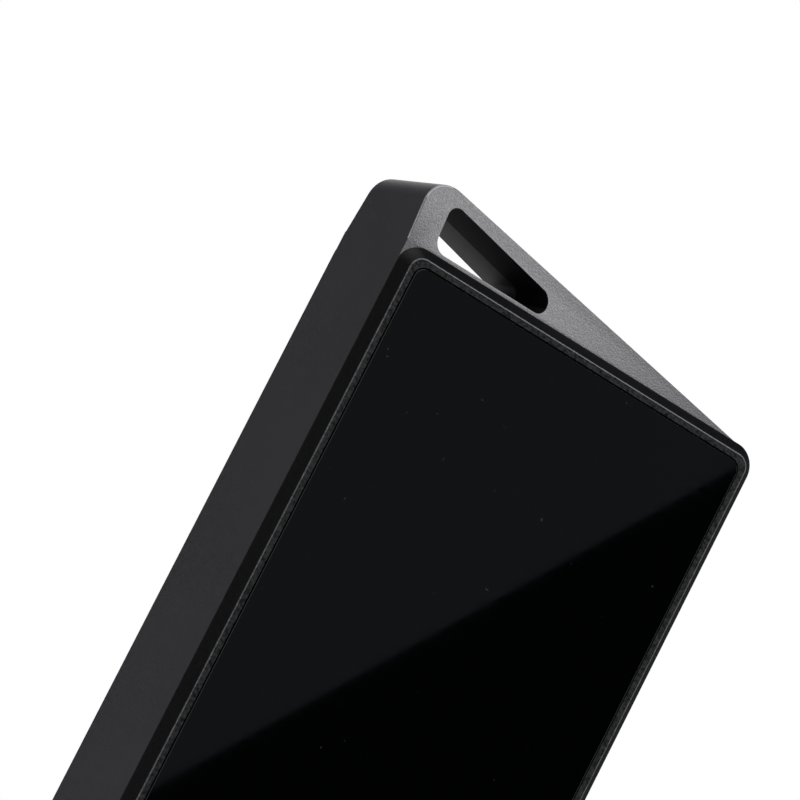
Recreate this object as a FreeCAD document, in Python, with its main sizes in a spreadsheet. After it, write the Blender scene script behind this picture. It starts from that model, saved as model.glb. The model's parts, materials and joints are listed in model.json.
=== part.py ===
import FreeCAD, Part
import math
import os
import re
import Sketcher
from FreeCAD import Placement, Rotation, Vector

# Handheld translator, in millimetres. It stands on its plain end at Z = 0 and its lanyard eye is
# at the top. +X is the bare side wall, -X the side with the keys, -Y the screen, +Y the glass back.
sizes = {
    # Frame: a ring of side walls with the lanyard eye at its top end
    "frameWidth": 45.6,
    "frameDepth": 13.6,
    "frameLength": 118.0,
    "frameCorner": 2.5,
    "sideWall": 1.9,
    "endWall": 2.2,
    "ledgeWide": 1.2,
    "ledgeThick": 1.2,
    "ledgeBack": 2.8,
    "fitGap": 0.15,
    "endLand": 0.05,
    # Lanyard eye: a wedge in plan that also gets thinner towards its tip
    "eyeTall": 7.45,
    "eyeThinSide": 3.06,
    "eyeTaper": 8.5,
    "eyeTipRound": 2.7,
    "eyeEdgeRound": 0.2,
    "holeWall": 3.1,
    "holeFloor": 0.6,
    "holeLong": 13.7,
    "holeTallSide": 5.25,
    "holeLowSide": 2.1,
    "holeRound": 1.0,
    "holeDraft": 2.4,
    # Back cover and its glass
    "backRise": 1.2,
    "backChamfer": 1.05,
    "backRim": 0.7,
    "skirtDeep": 0.8,
    "glassGap": 0.1,
    "glassCorner": 1.25,
    "backGlassThick": 0.85,
    "glueThick": 0.1,
    "glassProud": 0.05,
    "glassEdge": 0.25,
    "glueWide": 3.0,
    # Front cover, its glass and the two talk keys
    "frontRise": 1.0,
    "frontChamfer": 0.9,
    "frontRim": 0.9,
    "frontGlassThick": 0.8,
    "glassToTalk": 15.0,
    "talkWide": 14.0,
    "talkTall": 8.6,
    "talkBetween": 5.2,
    "talkDown": 17.0,
    "talkGap": 0.15,
    "talkProud": 0.4,
    "talkCardLow": 10.0,
    "talkCardHigh": 9.5,
    "talkCardThick": 0.6,
    "talkDomeRadius": 2.2,
    "talkDomeTall": 0.3,
    "flangeLip": 0.6,
    "flangeThick": 0.5,
    "pinholeRadius": 0.5,
    "frontMicWide": 2.66,
    "frontMicTall": 3.5,
    "frontMicDeep": 0.9,
    "gasketRadius": 1.4,
    # Screen
    "screenSideGap": 4.1,
    "screenLow": 8.0,
    "screenTopGap": 6.0,
    "panelThick": 1.2,
    "lightThick": 1.2,
    "foamInset": 2.0,
    "foamLeftWide": 4.6,
    "foamRightFrom": 6.6,
    "flexThick": 0.2,
    "screenFlexFrom": -11.0,
    "screenFlexWide": 10.0,
    "screenFlexUp": 32.0,
    "talkFlexFrom": 0.5,
    "talkFlexWide": 4.0,
    "flexSpare": 0.5,
    # Metal chassis plate
    "chassisThick": 0.8,
    "plateGap": 0.2,
    "standoffTall": 0.6,
    "standoffRadius": 1.7,
    "tabRadius": 1.8,
    "tabInset": 2.1,
    "tabEndGap": 3.0,
    "bossRadius": 1.6,
    "bossInset": 1.5,
    "bossDeep": 5.0,
    "bossLow": 14.0,
    "bossFromTray": 16.5,
    "bossTopGap": 9.8,
    "notchReach": 3.0,
    "windowGap": 0.5,
    "windowTall": 2.3,
    "windowLeft": 12.5,
    "windowRight": 6.0,
    # Screws
    "shankRadius": 0.7,
    "headRadius": 1.25,
    "headTall": 0.6,
    "threadGap": 0.02,
    "holeGap": 0.08,
    "threadSpare": 0.1,
    "coverScrewLong": 4.4,
    # Main board
    "boardSideGap": 3.7,
    "boardEndGap": 1.0,
    "boardTall": 53.6,
    "boardThick": 1.0,
    "boardCorner": 0.8,
    "boardNotchSide": 5.2,
    "boardNotchTall": 27.8,
    "plugTall": 0.8,
    "plugHigh": 3.4,
    "plugDrop": 5.6,
    "sidePlugHigh": 3.0,
    "sidePlugDrop": 9.3,
    "sidePlugWide": 3.6,
    "shieldLeft": 10.0,
    "shieldDrop": 20.4,
    "shieldWide": 20.5,
    "shieldTall": 13.4,
    "shieldDeep": 1.6,
    "shieldWall": 0.2,
    # Antenna on its carrier over the board
    "carrierTall": 21.3,
    "carrierDrop": 0.5,
    "carrierInset": 0.3,
    "carrierCorner": 1.5,
    "carrierUp": 4.8,
    "carrierThick": 1.2,
    "legInset": 2.7,
    "legLowDrop": 19.0,
    "legHighDrop": 3.3,
    "legRadius": 2.2,
    "legSeat": 2.0,
    "wellRadius": 1.5,
    "foilWide": 23.0,
    "foilTall": 18.0,
    "foilThick": 0.1,
    "foilInset": 1.8,
    "contactRadius": 0.6,
    "contactDrop": 12.8,
    # Battery
    "batterySideGap": 3.9,
    "batteryLowGap": 0.4,
    "batteryEndGap": 3.8,
    "batteryThick": 6.5,
    "batteryCorner": 1.5,
    "batteryRound": 1.0,
    "tapeThick": 0.15,
    "tapeInset": 5.0,
    "leadFrom": 6.0,
    "leadWide": 5.0,
    # Keys on the side wall
    "keyDeep": 2.4,
    "keyLong": 8.0,
    "powerLong": 10.0,
    "keyGap": 0.12,
    "keyProud": 0.5,
    "keyTravel": 0.25,
    "keyRest": 0.05,
    "domeRadius": 1.5,
    "domeTall": 0.5,
    "nubRadius": 0.8,
    "nubTall": 0.55,
    "keysFromBoard": 11.2,
    "volumeStep": 10.5,
    "powerStep": 13.5,
    "bracketThick": 0.4,
    "bracketDeep": 4.9,
    "bracketFoot": 1.2,
    "bracketEnd": 2.0,
    "keyFlexDeep": 2.6,
    "keyFlexFront": 1.2,
    "keyTailTall": 3.2,
    # Tray for the phone card
    "trayAt": 28.5,
    "trayHeadDeep": 2.4,
    "trayHeadLong": 12.8,
    "trayThick": 0.7,
    "trayWide": 10.6,
    "trayLong": 13.6,
    "trayLip": 0.4,
    "cardLong": 12.5,
    "cardWide": 8.9,
    "cardCorner": 0.8,
    "trayGap": 0.1,
    "ejectRadius": 0.4,
    "ejectInset": 1.6,
    "ejectFloor": 0.3,
    "readerDeep": 1.4,
    "readerWall": 1.0,
    "readerFrom": 0.6,
    "readerSpare": 0.9,
    # Charging socket in the standing end
    "socketWide": 8.94,
    "socketDeep": 3.2,
    "socketLong": 7.4,
    "socketWall": 0.3,
    "socketSunk": 0.4,
    "socketFloor": 1.0,
    "tongueWide": 6.7,
    "tongueThick": 0.7,
    # Speaker, vibration motor and the microphone at the standing end
    "speakerLow": 5.8,
    "speakerWide": 10.4,
    "speakerLong": 16.0,
    "speakerDeep": 7.0,
    "soundLevel": 0.4,
    "soundHoleRadius": 0.55,
    "soundHolePitch": 1.5,
    "soundHoles": 6,
    "meshThick": 0.2,
    "meshDeep": 3.2,
    "throatDeep": 2.6,
    "throatLong": 3.0,
    "throatInset": 1.0,
    "motorRadius": 4.0,
    "motorDeep": 2.8,
    "motorAt": 25.0,
    "motorOffset": 1.0,
    "micFromMiddle": 10.0,
    "micAboveBoard": 0.5,
    "micWide": 3.5,
    "micDeep": 1.0,
    "micTall": 2.65,
    "micGap": 0.1,
    "bootWide": 4.0,
    "bootDeep": 1.8,
    "bootFront": 0.4,
}

# Levels along Y, each worked out from the sizes above
back = "(frameDepth / 2)"
front = "(-frameDepth / 2)"
backRim = f"({back} + backRise)"
frontRim = f"({front} - frontRise)"
backInside = f"({back} - skirtDeep)"
frontInside = f"({front} + skirtDeep)"
backFloor = f"({backRim} + glassProud - backGlassThick - glueThick)"
frontGlassBack = f"({frontRim} + frontGlassThick)"
frontFloor = f"({frontGlassBack} + glueThick)"
panelBack = f"({frontGlassBack} + panelThick)"
lightBack = f"({panelBack} + lightThick)"
chassisFront = f"({front} + ledgeBack)"
chassisBack = f"({chassisFront} + chassisThick)"
boardFront = f"({chassisBack} + standoffTall)"
boardBack = f"({boardFront} + boardThick)"
plugBack = f"({boardBack} + plugTall)"
innerSide = "(frameWidth / 2 - sideWall)"
innerEnd = "(frameLength - endWall)"

# Places along X and Z that several pieces share
boardHalf = f"({innerSide} - boardSideGap)"
boardLow = "(endWall + boardEndGap)"
boardHigh = f"({boardLow} + boardTall)"
windowLow = f"({boardHigh} + windowGap)"
windowHigh = f"({windowLow} + windowTall)"
batteryHalf = f"({innerSide} - batterySideGap)"
batteryLow = f"({windowHigh} + batteryLowGap)"
batteryHigh = f"({innerEnd} - batteryEndGap)"
talkHeight = "(frameLength - talkDown)"
frontGlassHigh = f"({talkHeight} - glassToTalk)"
screenHalf = f"({innerSide} - screenSideGap)"
screenHigh = f"({frontGlassHigh} - screenTopGap)"
volumeDownAt = f"({boardHigh} + keysFromBoard)"
volumeUpAt = f"({volumeDownAt} + volumeStep)"
powerAt = f"({volumeUpAt} + powerStep)"
trayLevel = f"({boardBack} + readerDeep / 2)"
socketLevel = f"({boardBack} + socketDeep / 2)"
talkCardFace = f"({chassisFront} - talkCardThick)"
plugFoot = f"({boardHigh} - plugDrop - flexThick)"

doc = FreeCAD.newDocument("Translator")
sheet = doc.addObject("Spreadsheet::Sheet", "Sizes")
for row, (name, number) in enumerate(sizes.items(), start=1):
    sheet.set(f"A{row}", name)
    sheet.set(f"B{row}", str(number))
    sheet.setAlias(f"B{row}", name)
doc.recompute()

nodes = {}
planeNormals = {"XY_Plane": 1, "XZ_Plane": -1, "YZ_Plane": 1}


def tie(formula):
    """A formula in plain size names, as an expression on the sheet's cells."""
    return re.sub(r"\b[A-Za-z]\w*\b(?!\()", r"Sizes.\g<0>", str(formula))


def amount(formula):
    result = sheet.evalExpression(tie(formula))
    return float(getattr(result, "Value", result))


def keep(label, piece):
    piece.Label = label
    nodes[label] = piece
    return piece


# Outlines

def disc(x, y, radius):
    return (x, y, radius)


def plate(midX, midY, wide, tall, radius=None):
    signs = [(-1, -1), (1, -1), (1, 1), (-1, 1)]
    return [(f"{midX} + ({a}) * ({wide}) / 2", f"{midY} + ({b}) * ({tall}) / 2", radius) for a, b in signs]


def span(lowX, highX, lowY, highY, radius=None):
    return [(lowX, lowY, radius), (highX, lowY, radius), (highX, highY, radius), (lowX, highY, radius)]


def constrain(sketch, formula, *terms):
    index = sketch.addConstraint(Sketcher.Constraint(*terms, amount(formula)))
    sketch.setExpression(f"Constraints[{index}]", tie(formula))


def pinDown(sketch, geometry, point, x, y):
    constrain(sketch, x, "DistanceX", -1, 1, geometry, point)
    constrain(sketch, y, "DistanceY", -1, 1, geometry, point)


def drawDisc(sketch, x, y, radius):
    circle = Part.Circle(Vector(amount(x), amount(y), 0), Vector(0, 0, 1), amount(radius))
    index = sketch.addGeometry(circle)
    pinDown(sketch, index, 3, x, y)
    constrain(sketch, radius, "Radius", index)


def drawPolygon(sketch, corners):
    """A closed outline, counter-clockwise, whose corners may be rounded."""
    points = [Vector(amount(x), amount(y), 0) for x, y, radius in corners]
    count = len(points)
    enter, leave, rounds = [], [], []
    for index, (x, y, radius) in enumerate(corners):
        here = points[index]
        back1 = (points[index - 1] - here).normalize()
        on1 = (points[(index + 1) % count] - here).normalize()
        if radius is None:
            enter.append(here)
            leave.append(here)
            rounds.append(None)
            continue
        size = amount(radius)
        half = back1.getAngle(on1) / 2
        enter.append(here + back1 * (size / math.tan(half)))
        leave.append(here + on1 * (size / math.tan(half)))
        centre = here + (back1 + on1).normalize() * (size / math.sin(half))
        convex = back1.cross(on1).z < 0
        first, last = (enter[-1], leave[-1]) if convex else (leave[-1], enter[-1])
        start = math.atan2(first.y - centre.y, first.x - centre.x)
        stop = math.atan2(last.y - centre.y, last.x - centre.x)
        if stop < start:
            stop += 2 * math.pi
        rounds.append((Part.ArcOfCircle(Part.Circle(centre, Vector(0, 0, 1), size), start, stop), convex))
    lines = [sketch.addGeometry(Part.LineSegment(leave[i], enter[(i + 1) % count])) for i in range(count)]
    for index, (x, y, radius) in enumerate(corners):
        before, after = lines[index - 1], lines[index]
        if radius is None:
            sketch.addConstraint(Sketcher.Constraint("Coincident", before, 2, after, 1))
            pinDown(sketch, after, 1, x, y)
            continue
        arc, convex = rounds[index]
        bend = sketch.addGeometry(arc)
        first, last = (1, 2) if convex else (2, 1)
        sketch.addConstraint(Sketcher.Constraint("Tangent", before, 2, bend, first))
        sketch.addConstraint(Sketcher.Constraint("Tangent", bend, last, after, 1))
        corner = sketch.addGeometry(Part.Point(points[index]), True)
        sketch.addConstraint(Sketcher.Constraint("PointOnObject", corner, 1, before))
        sketch.addConstraint(Sketcher.Constraint("PointOnObject", corner, 1, after))
        pinDown(sketch, corner, 1, x, y)
        constrain(sketch, radius, "Radius", bend)


# Features

def newBody(name, node=True):
    body = doc.addObject("PartDesign::Body", name)
    return keep(name, body) if node else body


def newSketch(body, name, plane, level, outlines):
    sketch = body.newObject("Sketcher::SketchObject", name)
    base = next(item for item in body.Origin.OriginFeatures if item.Role == plane)
    sketch.AttachmentSupport = [(base, "")]
    sketch.MapMode = "FlatFace"
    sketch.setExpression("AttachmentOffset.Base.z", tie(f"({planeNormals[plane]}) * ({level})"))
    for outline in outlines:
        if isinstance(outline, tuple):
            drawDisc(sketch, *outline)
        else:
            drawPolygon(sketch, outline)
    doc.recompute()
    return sketch


def extrude(kind, body, name, plane, level, outlines, length, toward, taper):
    sketch = newSketch(body, name + "Sketch", plane, level, outlines)
    feature = body.newObject(f"PartDesign::{kind}", name)
    feature.Profile = sketch
    natural = planeNormals[plane] * (1 if kind == "Pad" else -1)
    feature.Reversed = natural != toward
    feature.setExpression("Length", tie(length))
    if taper:
        feature.setExpression("TaperAngle", tie(taper))
    doc.recompute()
    return feature


def grow(body, name, plane, level, outlines, length, toward):
    """Material added from a level, toward +1 or -1 along that plane's axis."""
    return extrude("Pad", body, name, plane, level, outlines, length, toward, None)


def carve(body, name, plane, level, outlines, length, toward, taper=None):
    """Material taken away from a level; a cut that removes nothing is an error."""
    before = body.Shape.Volume
    feature = extrude("Pocket", body, name, plane, level, outlines, length, toward, taper)
    if body.Shape.Volume > before - 1e-4:
        raise RuntimeError(f"{name} cuts nothing")
    return feature


def edgesWhere(shape, test):
    return [f"Edge{i}" for i, edge in enumerate(shape.Edges, start=1) if test(edge)]


def dress(kind, body, name, test, formula):
    """Rounds or chamfers the body's edges that pass the test."""
    base = body.Tip
    feature = body.newObject(f"PartDesign::{kind}", name)
    feature.Base = (base, edgesWhere(body.Shape, test))
    feature.setExpression("Size" if kind == "Chamfer" else "Radius", tie(formula))
    doc.recompute()
    return feature


def liesAt(edge, axis, level):
    box = edge.BoundBox
    low = {"x": box.XMin, "y": box.YMin, "z": box.ZMin}[axis]
    high = {"x": box.XMax, "y": box.YMax, "z": box.ZMax}[axis]
    return abs(low - level) < 1e-3 and abs(high - level) < 1e-3


def place(piece, corner):
    for axis, formula in zip("xyz", corner):
        piece.setExpression(f"Placement.Base.{axis}", tie(formula))


def block(name, corner, extent):
    piece = doc.addObject("Part::Box", name)
    for side, formula in zip(("Length", "Width", "Height"), extent):
        piece.setExpression(side, tie(formula))
    place(piece, corner)
    return piece


def rod(name, start, radius, length, axis):
    """A cylinder that runs from its start point along +axis."""
    turns = {"x": Rotation(Vector(0, 1, 0), 90), "y": Rotation(Vector(1, 0, 0), -90), "z": Rotation()}
    piece = doc.addObject("Part::Cylinder", name)
    piece.Placement = Placement(Vector(), turns[axis])
    piece.setExpression("Radius", tie(radius))
    piece.setExpression("Height", tie(length))
    place(piece, start)
    return piece


def joined(name, pieces):
    union = doc.addObject("Part::MultiFuse", name)
    union.Shapes = pieces
    return union


def less(name, base, tool):
    cut = doc.addObject("Part::Cut", name)
    cut.Base = base
    cut.Tool = tool
    return cut


def gather(label, pieces):
    """Separate solids that share one node."""
    group = doc.addObject("Part::Compound", label)
    group.Links = pieces
    return keep(label, group)


def screws(label, spots, seat, length):
    """Screws along -Y: each head stands on its seat and the shank reaches down from it."""
    made = []
    for index, (x, z) in enumerate(spots):
        tag = f"{label}{index}"
        head = rod(tag + "Head", (x, seat, z), "headRadius", "headTall", "y")
        shank = rod(tag + "Shank", (x, f"{seat} - ({length})", z), "shankRadius", length, "y")
        drive = rod(tag + "Drive", (x, f"{seat} + headTall / 2", z), "shankRadius", "headTall", "y")
        made.append(less(tag, joined(tag + "Blank", [head, shank]), drive))
    return gather(label, made)


# Where the fasteners are, as (x, z)
sides = ("-1", "1")
tabX = "(frameWidth / 2 - sideWall - tabInset)"
bossX = "(frameWidth / 2 - sideWall - bossInset)"
tabHeights = ["endWall + tabEndGap", f"({windowLow} + {windowHigh}) / 2", f"{innerEnd} - tabEndGap"]
bossHeights = ["bossLow", "trayAt + bossFromTray", f"{innerEnd} - bossTopGap"]
tabSpots = [(f"({side}) * {tabX}", z) for side in sides for z in tabHeights]
bossSpots = [(f"({side}) * {bossX}", z) for side in sides for z in bossHeights]
legX = f"({boardHalf} - legInset)"
legHeights = [f"{boardHigh} - legLowDrop", f"{boardHigh} - legHighDrop"]
legSpots = [(f"({side}) * {legX}", z) for side in sides for z in legHeights]
endSpots = [("-14.2", f"{boardLow} + 6.5"), ("1.4", f"{boardLow} + 10.8")]
boardSpots = legSpots + endSpots
keySpots = {
    "power_key": (powerAt, "powerLong"),
    "volume_up_key": (volumeUpAt, "keyLong"),
    "volume_down_key": (volumeDownAt, "keyLong"),
}
talkX = "((talkWide + talkBetween) / 2)"
talkSpots = {"first_talk_key": f"(-{talkX})", "second_talk_key": talkX}
microphoneX = "(-micFromMiddle)"
microphoneY = f"({boardBack} + micAboveBoard)"


def makeEye():
    """The lanyard eye: a wedge in plan, thinner towards its tip, with a hole drafted both ways."""
    body = newBody("LanyardEye", False)
    half = "(frameWidth / 2)"
    thinEnd = f"(-{half} + frameCorner)"
    low = f"({innerEnd} + endWall / 4)"
    tip = "(frameLength + eyeTall + 1)"
    wideY = f"({back} + (frameLength - {low}) * tan(eyeTaper))"
    slimY = f"({back} - (eyeTall + 1) * tan(eyeTaper))"
    profile = [(f"-{wideY}", low, None), (wideY, low, None), (slimY, tip, None), (f"-{slimY}", tip, None)]
    grow(body, "EyeWedge", "YZ_Plane", thinEnd, [profile], f"{half} - {thinEnd}", 1)
    slope = "(eyeTall / (frameWidth - eyeThinSide))"
    above = [
        (f"{half} + 1", f"frameLength + eyeTall + {slope}", None),
        (f"{half} + 1", f"{tip} + 1", None),
        (f"{thinEnd} - 1", f"{tip} + 1", None),
        (f"{thinEnd} - 1", f"frameLength + (frameCorner - eyeThinSide - 1) * {slope}", None),
    ]
    carve(body, "EyeSlant", "XZ_Plane", f"{wideY} + 1", [above], f"2 * {wideY} + 2", -1)

    def tipEdge(edge):
        box = edge.BoundBox
        atSide = abs(box.XMin - amount(half)) < 1e-3 and box.XLength < 1e-3
        return atSide and box.ZLength < 1e-3 and box.ZMin > amount("frameLength + 1")
    dress("Fillet", body, "EyeTip", tipEdge, "eyeTipRound")

    def crown(edge):
        box = edge.BoundBox
        slanted = box.ZMax > amount("frameLength + 1") and box.YLength < amount(back)
        return slanted and box.XMax > amount(f"{thinEnd} + 1")
    dress("Fillet", body, "EyeCrown", crown, "eyeEdgeRound")
    base = "frameLength + holeFloor"
    thick = f"({half} - holeWall)"
    thin = f"({thick} - holeLong)"
    eye = [
        (thin, base, "holeRound"),
        (thick, base, "holeRound"),
        (thick, f"{base} + holeTallSide", "holeRound"),
        (thin, f"{base} + holeLowSide", "holeRound"),
    ]
    carve(body, "EyeBack", "XZ_Plane", "0", [eye], f"{back} + 1", 1, "holeDraft")
    carve(body, "EyeFront", "XZ_Plane", "0", [eye], f"{back} + 1", -1, "holeDraft")
    slab = block("EyeSlab", (f"-{half}", front, "0"), ("frameWidth", "frameDepth", "2 * frameLength"))
    clipped = doc.addObject("Part::Common", "EyeClipped")
    clipped.Base = body
    clipped.Tool = slab
    return clipped


def makeFrame():
    body = newBody("FrameRing", False)
    half = "frameWidth / 2"
    plan = span(f"-{half}", half, "0", "frameLength", "frameCorner")
    plan[2] = (half, "frameLength", None)
    grow(body, "Walls", "XZ_Plane", back, [plan], "frameDepth", -1)
    cavity = span(f"-{innerSide}", innerSide, "endWall", innerEnd, "frameCorner / 2")
    opening = span(f"-{innerSide} + ledgeWide", f"{innerSide} - ledgeWide", "endWall + ledgeWide",
                   f"{innerEnd} - ledgeWide", "frameCorner / 2")
    carve(body, "Opening", "XZ_Plane", back, [opening], "frameDepth", -1)
    carve(body, "BackCavity", "XZ_Plane", back, [cavity], f"frameDepth - ledgeBack", -1)
    carve(body, "FrontCavity", "XZ_Plane", front, [cavity], "ledgeBack - ledgeThick", 1)
    tabs = [disc(x, z, "tabRadius") for x, z in tabSpots]
    grow(body, "Tabs", "XZ_Plane", chassisFront, tabs, "ledgeThick", -1)
    bosses = [disc(x, z, "bossRadius") for x, z in bossSpots]
    grow(body, "Bosses", "XZ_Plane", chassisFront, bosses, f"{backInside} - {chassisFront}", 1)
    threads = [disc(x, z, "shankRadius + threadGap") for x, z in tabSpots]
    carve(body, "TabHoles", "XZ_Plane", chassisFront, threads, "ledgeThick", -1)
    threads = [disc(x, z, "shankRadius + threadGap") for x, z in bossSpots]
    carve(body, "BossHoles", "XZ_Plane", backInside, threads, "bossDeep", -1)

    slots = []
    for at, tall in keySpots.values():
        slots.append(plate("0", at, "keyDeep + 2 * keyGap", f"{tall} + 2 * keyGap", "keyDeep / 2"))
    trayHole = plate(trayLevel, "trayAt", "trayHeadDeep + 2 * trayGap", "trayHeadLong + 2 * trayGap",
                     "trayHeadDeep / 2")
    carve(body, "SideSlots", "YZ_Plane", f"-{innerSide} + 2 * fitGap", slots + [trayHole], "sideWall + 1", -1)

    port = plate("0", socketLevel, "socketWide + 2 * fitGap", "socketDeep + 2 * fitGap", "socketDeep / 2")
    sound = []
    for i in range(sizes["soundHoles"]):
        x = f"speakerLow + speakerWide / 2 + ({i} - (soundHoles - 1) / 2) * soundHolePitch"
        sound.append(disc(x, "soundLevel", "soundHoleRadius"))
    pinhole = disc(microphoneX, microphoneY, "pinholeRadius")
    carve(body, "EndHoles", "XY_Plane", "0", [port, pinhole] + sound, "endWall + 2 * fitGap", 1)
    union = joined("FrameWithEye", [body, makeEye()])
    union.Refine = True
    keep("mid_frame", union)


def makeBackCover():
    body = newBody("rear_cover")
    outline = plate("0", "frameLength / 2", "frameWidth", "frameLength", "frameCorner")
    grow(body, "CoverSlab", "XZ_Plane", back, [outline], "backRise", 1)

    def topEdge(edge):
        return liesAt(edge, "y", amount(backRim))
    dress("Chamfer", body, "CoverChamfer", topEdge, "backChamfer")
    skirt = span(f"-{innerSide} + fitGap", f"{innerSide} - fitGap", "endWall + fitGap",
                 f"{innerEnd} - fitGap", "frameCorner / 2")
    grow(body, "CoverSkirt", "XZ_Plane", back, [skirt], "skirtDeep", -1)
    inset = "(backChamfer + backRim)"
    seat = span(f"-frameWidth / 2 + {inset}", f"frameWidth / 2 - {inset}", inset,
                f"frameLength - {inset}", "glassCorner + glassGap")
    carve(body, "GlassSeat", "XZ_Plane", backRim, [seat], f"{backRim} - {backFloor}", -1)
    shanks = [disc(x, z, "shankRadius + holeGap") for x, z in bossSpots]
    carve(body, "CoverHoles", "XZ_Plane", backFloor, shanks, "3", -1)
    sinks = [disc(x, z, "headRadius + holeGap") for x, z in bossSpots]
    carve(body, "CoverSinks", "XZ_Plane", backFloor, sinks, "headTall", -1)
    screws("cover_screws", bossSpots, f"({backFloor} - headTall)", "coverScrewLong")


def glassPanel(label, facing, low, high, side, outer, thick, clear):
    """A glass sheet with softly bevelled edges, and the ring of glue that holds it."""
    corners = span(f"-frameWidth / 2 + {side}", f"frameWidth / 2 - {side}", low, high, "glassCorner")
    body = newBody(label)
    grow(body, label.replace("_", "") + "Sheet", "XZ_Plane", outer, [corners], thick, -facing)

    def rim(edge):
        return liesAt(edge, "y", amount(outer))
    dress("Chamfer", body, label.replace("_", "") + "Edge", rim, "glassEdge")
    glue = newBody(label + "_adhesive")
    hole = clear or span(f"-frameWidth / 2 + {side} + glueWide", f"frameWidth / 2 - {side} - glueWide",
                         f"{low} + glueWide", f"{high} - glueWide", "glassCorner")
    inner = f"{outer} - ({facing}) * {thick}"
    edge = span(f"-frameWidth / 2 + {side} + glassEdge", f"frameWidth / 2 - {side} - glassEdge",
                f"{low} + glassEdge", f"{high} - glassEdge", "glassCorner")
    grow(glue, label.replace("_", "") + "Glue", "XZ_Plane", inner, [edge, hole], "glueThick", -facing)


def makeFrontCover():
    body = newBody("front_cover")
    outline = plate("0", "frameLength / 2", "frameWidth", "frameLength", "frameCorner")
    grow(body, "FrontSlab", "XZ_Plane", front, [outline], "frontRise", -1)

    def topEdge(edge):
        return liesAt(edge, "y", amount(frontRim))
    dress("Chamfer", body, "FrontChamfer", topEdge, "frontChamfer")
    skirt = span(f"-{innerSide} + fitGap", f"{innerSide} - fitGap", "endWall + fitGap",
                 f"{innerEnd} - fitGap", "frameCorner / 2")
    grow(body, "FrontSkirt", "XZ_Plane", front, [skirt], "skirtDeep", 1)
    side = "(frontChamfer + frontRim)"
    seat = span(f"-frameWidth / 2 + {side}", f"frameWidth / 2 - {side}", side, f"{frontGlassHigh} + glassGap",
                "glassCorner + glassGap")
    carve(body, "FrontSeat", "XZ_Plane", frontRim, [seat], f"{frontFloor} - {frontRim}", 1)
    window = screenOutline("2 * fitGap")
    carve(body, "ScreenWindow", "XZ_Plane", frontFloor, [window], "skirtDeep + frontRise", 1)
    holes = []
    for x in talkSpots.values():
        holes.append(plate(x, talkHeight, "talkWide", "talkTall", "talkTall / 2 - endLand"))
    holes.append(disc("0", talkHeight, "pinholeRadius"))
    carve(body, "TalkHoles", "XZ_Plane", frontRim, holes, "frontRise + skirtDeep", 1)


def screenOutline(margin):
    return span(f"-{screenHalf} - {margin}", f"{screenHalf} + {margin}", f"screenLow - {margin}",
                f"{screenHigh} + {margin}")


def makeScreen():
    panel = newBody("display_panel")
    grow(panel, "PanelSheet", "XZ_Plane", frontGlassBack, [screenOutline("0")], "panelThick", 1)
    light = newBody("backlight_unit")
    grow(light, "LightSheet", "XZ_Plane", panelBack, [screenOutline("0")], "lightThick", 1)
    foamDeep = f"{chassisFront} - {lightBack}"
    tall = f"{screenHigh} - screenLow - 2 * foamInset"
    low = "screenLow + foamInset"
    left = block("FoamLeft", (f"-{screenHalf}", lightBack, low), ("foamLeftWide", foamDeep, tall))
    right = block("FoamRight", ("foamRightFrom", lightBack, low),
                  (f"{screenHalf} - foamRightFrom", foamDeep, tall))
    gather("display_foam", [left, right])
    bentFlex("display_flex", "screenFlexFrom", "screenFlexWide", lightBack, "screenLow + screenFlexUp",
             f"{windowHigh} - 6 * flexThick", f"{boardHigh} - 6")


def bentFlex(label, lowX, wide, frontLevel, frontEnd, bendAt, backEnd):
    """A flat cable from in front of the chassis, through its window, onto a plug on the board."""
    lowRun = min(amount(frontEnd), amount(bendAt)) == amount(frontEnd)
    frontRun = (lowX, frontLevel, frontEnd if lowRun else bendAt)
    tall = f"{bendAt} - ({frontEnd})" if lowRun else f"{frontEnd} - ({bendAt})"
    first = block(label + "Front", frontRun, (wide, "flexThick", tall))
    rise = f"{plugBack} + flexThick - {frontLevel}"
    second = block(label + "Rise", (lowX, frontLevel, bendAt), (wide, rise, "flexThick"))
    third = block(label + "Back", (lowX, plugBack, backEnd), (wide, "flexThick", f"{bendAt} - ({backEnd})"))
    return keep(label, joined(label, [first, second, third]))


def makeChassis():
    body = newBody("chassis_plate")
    sheetOutline = span(f"-{innerSide} + plateGap", f"{innerSide} - plateGap", "endWall + plateGap",
                        f"{innerEnd} - plateGap", "frameCorner / 2")
    grow(body, "ChassisSheet", "XZ_Plane", chassisFront, [sheetOutline], "chassisThick", 1)
    for index, (x, z) in enumerate(bossSpots):
        edgeX = f"{x} + ({sides[index // len(bossHeights)]}) * notchReach"
        low, high = (edgeX, x) if index < len(bossHeights) else (x, edgeX)
        room = "bossRadius + plateGap"
        carve(body, f"Notch{index}", "XZ_Plane", chassisFront, [disc(x, z, room)], "chassisThick", 1)
        slot = span(low, high, f"{z} - {room}", f"{z} + {room}")
        carve(body, f"NotchMouth{index}", "XZ_Plane", chassisFront, [slot], "chassisThick", 1)
    standoffs = [disc(x, z, "standoffRadius") for x, z in boardSpots]
    grow(body, "Standoffs", "XZ_Plane", chassisBack, standoffs, "standoffTall", 1)
    threads = [disc(x, z, "shankRadius + threadGap") for x, z in boardSpots]
    carve(body, "BoardThreads", "XZ_Plane", boardFront, threads, "standoffTall + chassisThick", -1)
    window = span("-windowLeft", "windowRight", windowLow, windowHigh, "0.5")
    holes = [disc(x, z, "shankRadius + holeGap") for x, z in tabSpots]
    carve(body, "ChassisHoles", "XZ_Plane", chassisBack, holes + [window], "chassisThick", -1)
    screws("chassis_screws", tabSpots, chassisBack, "chassisThick + ledgeThick - threadSpare")


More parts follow.
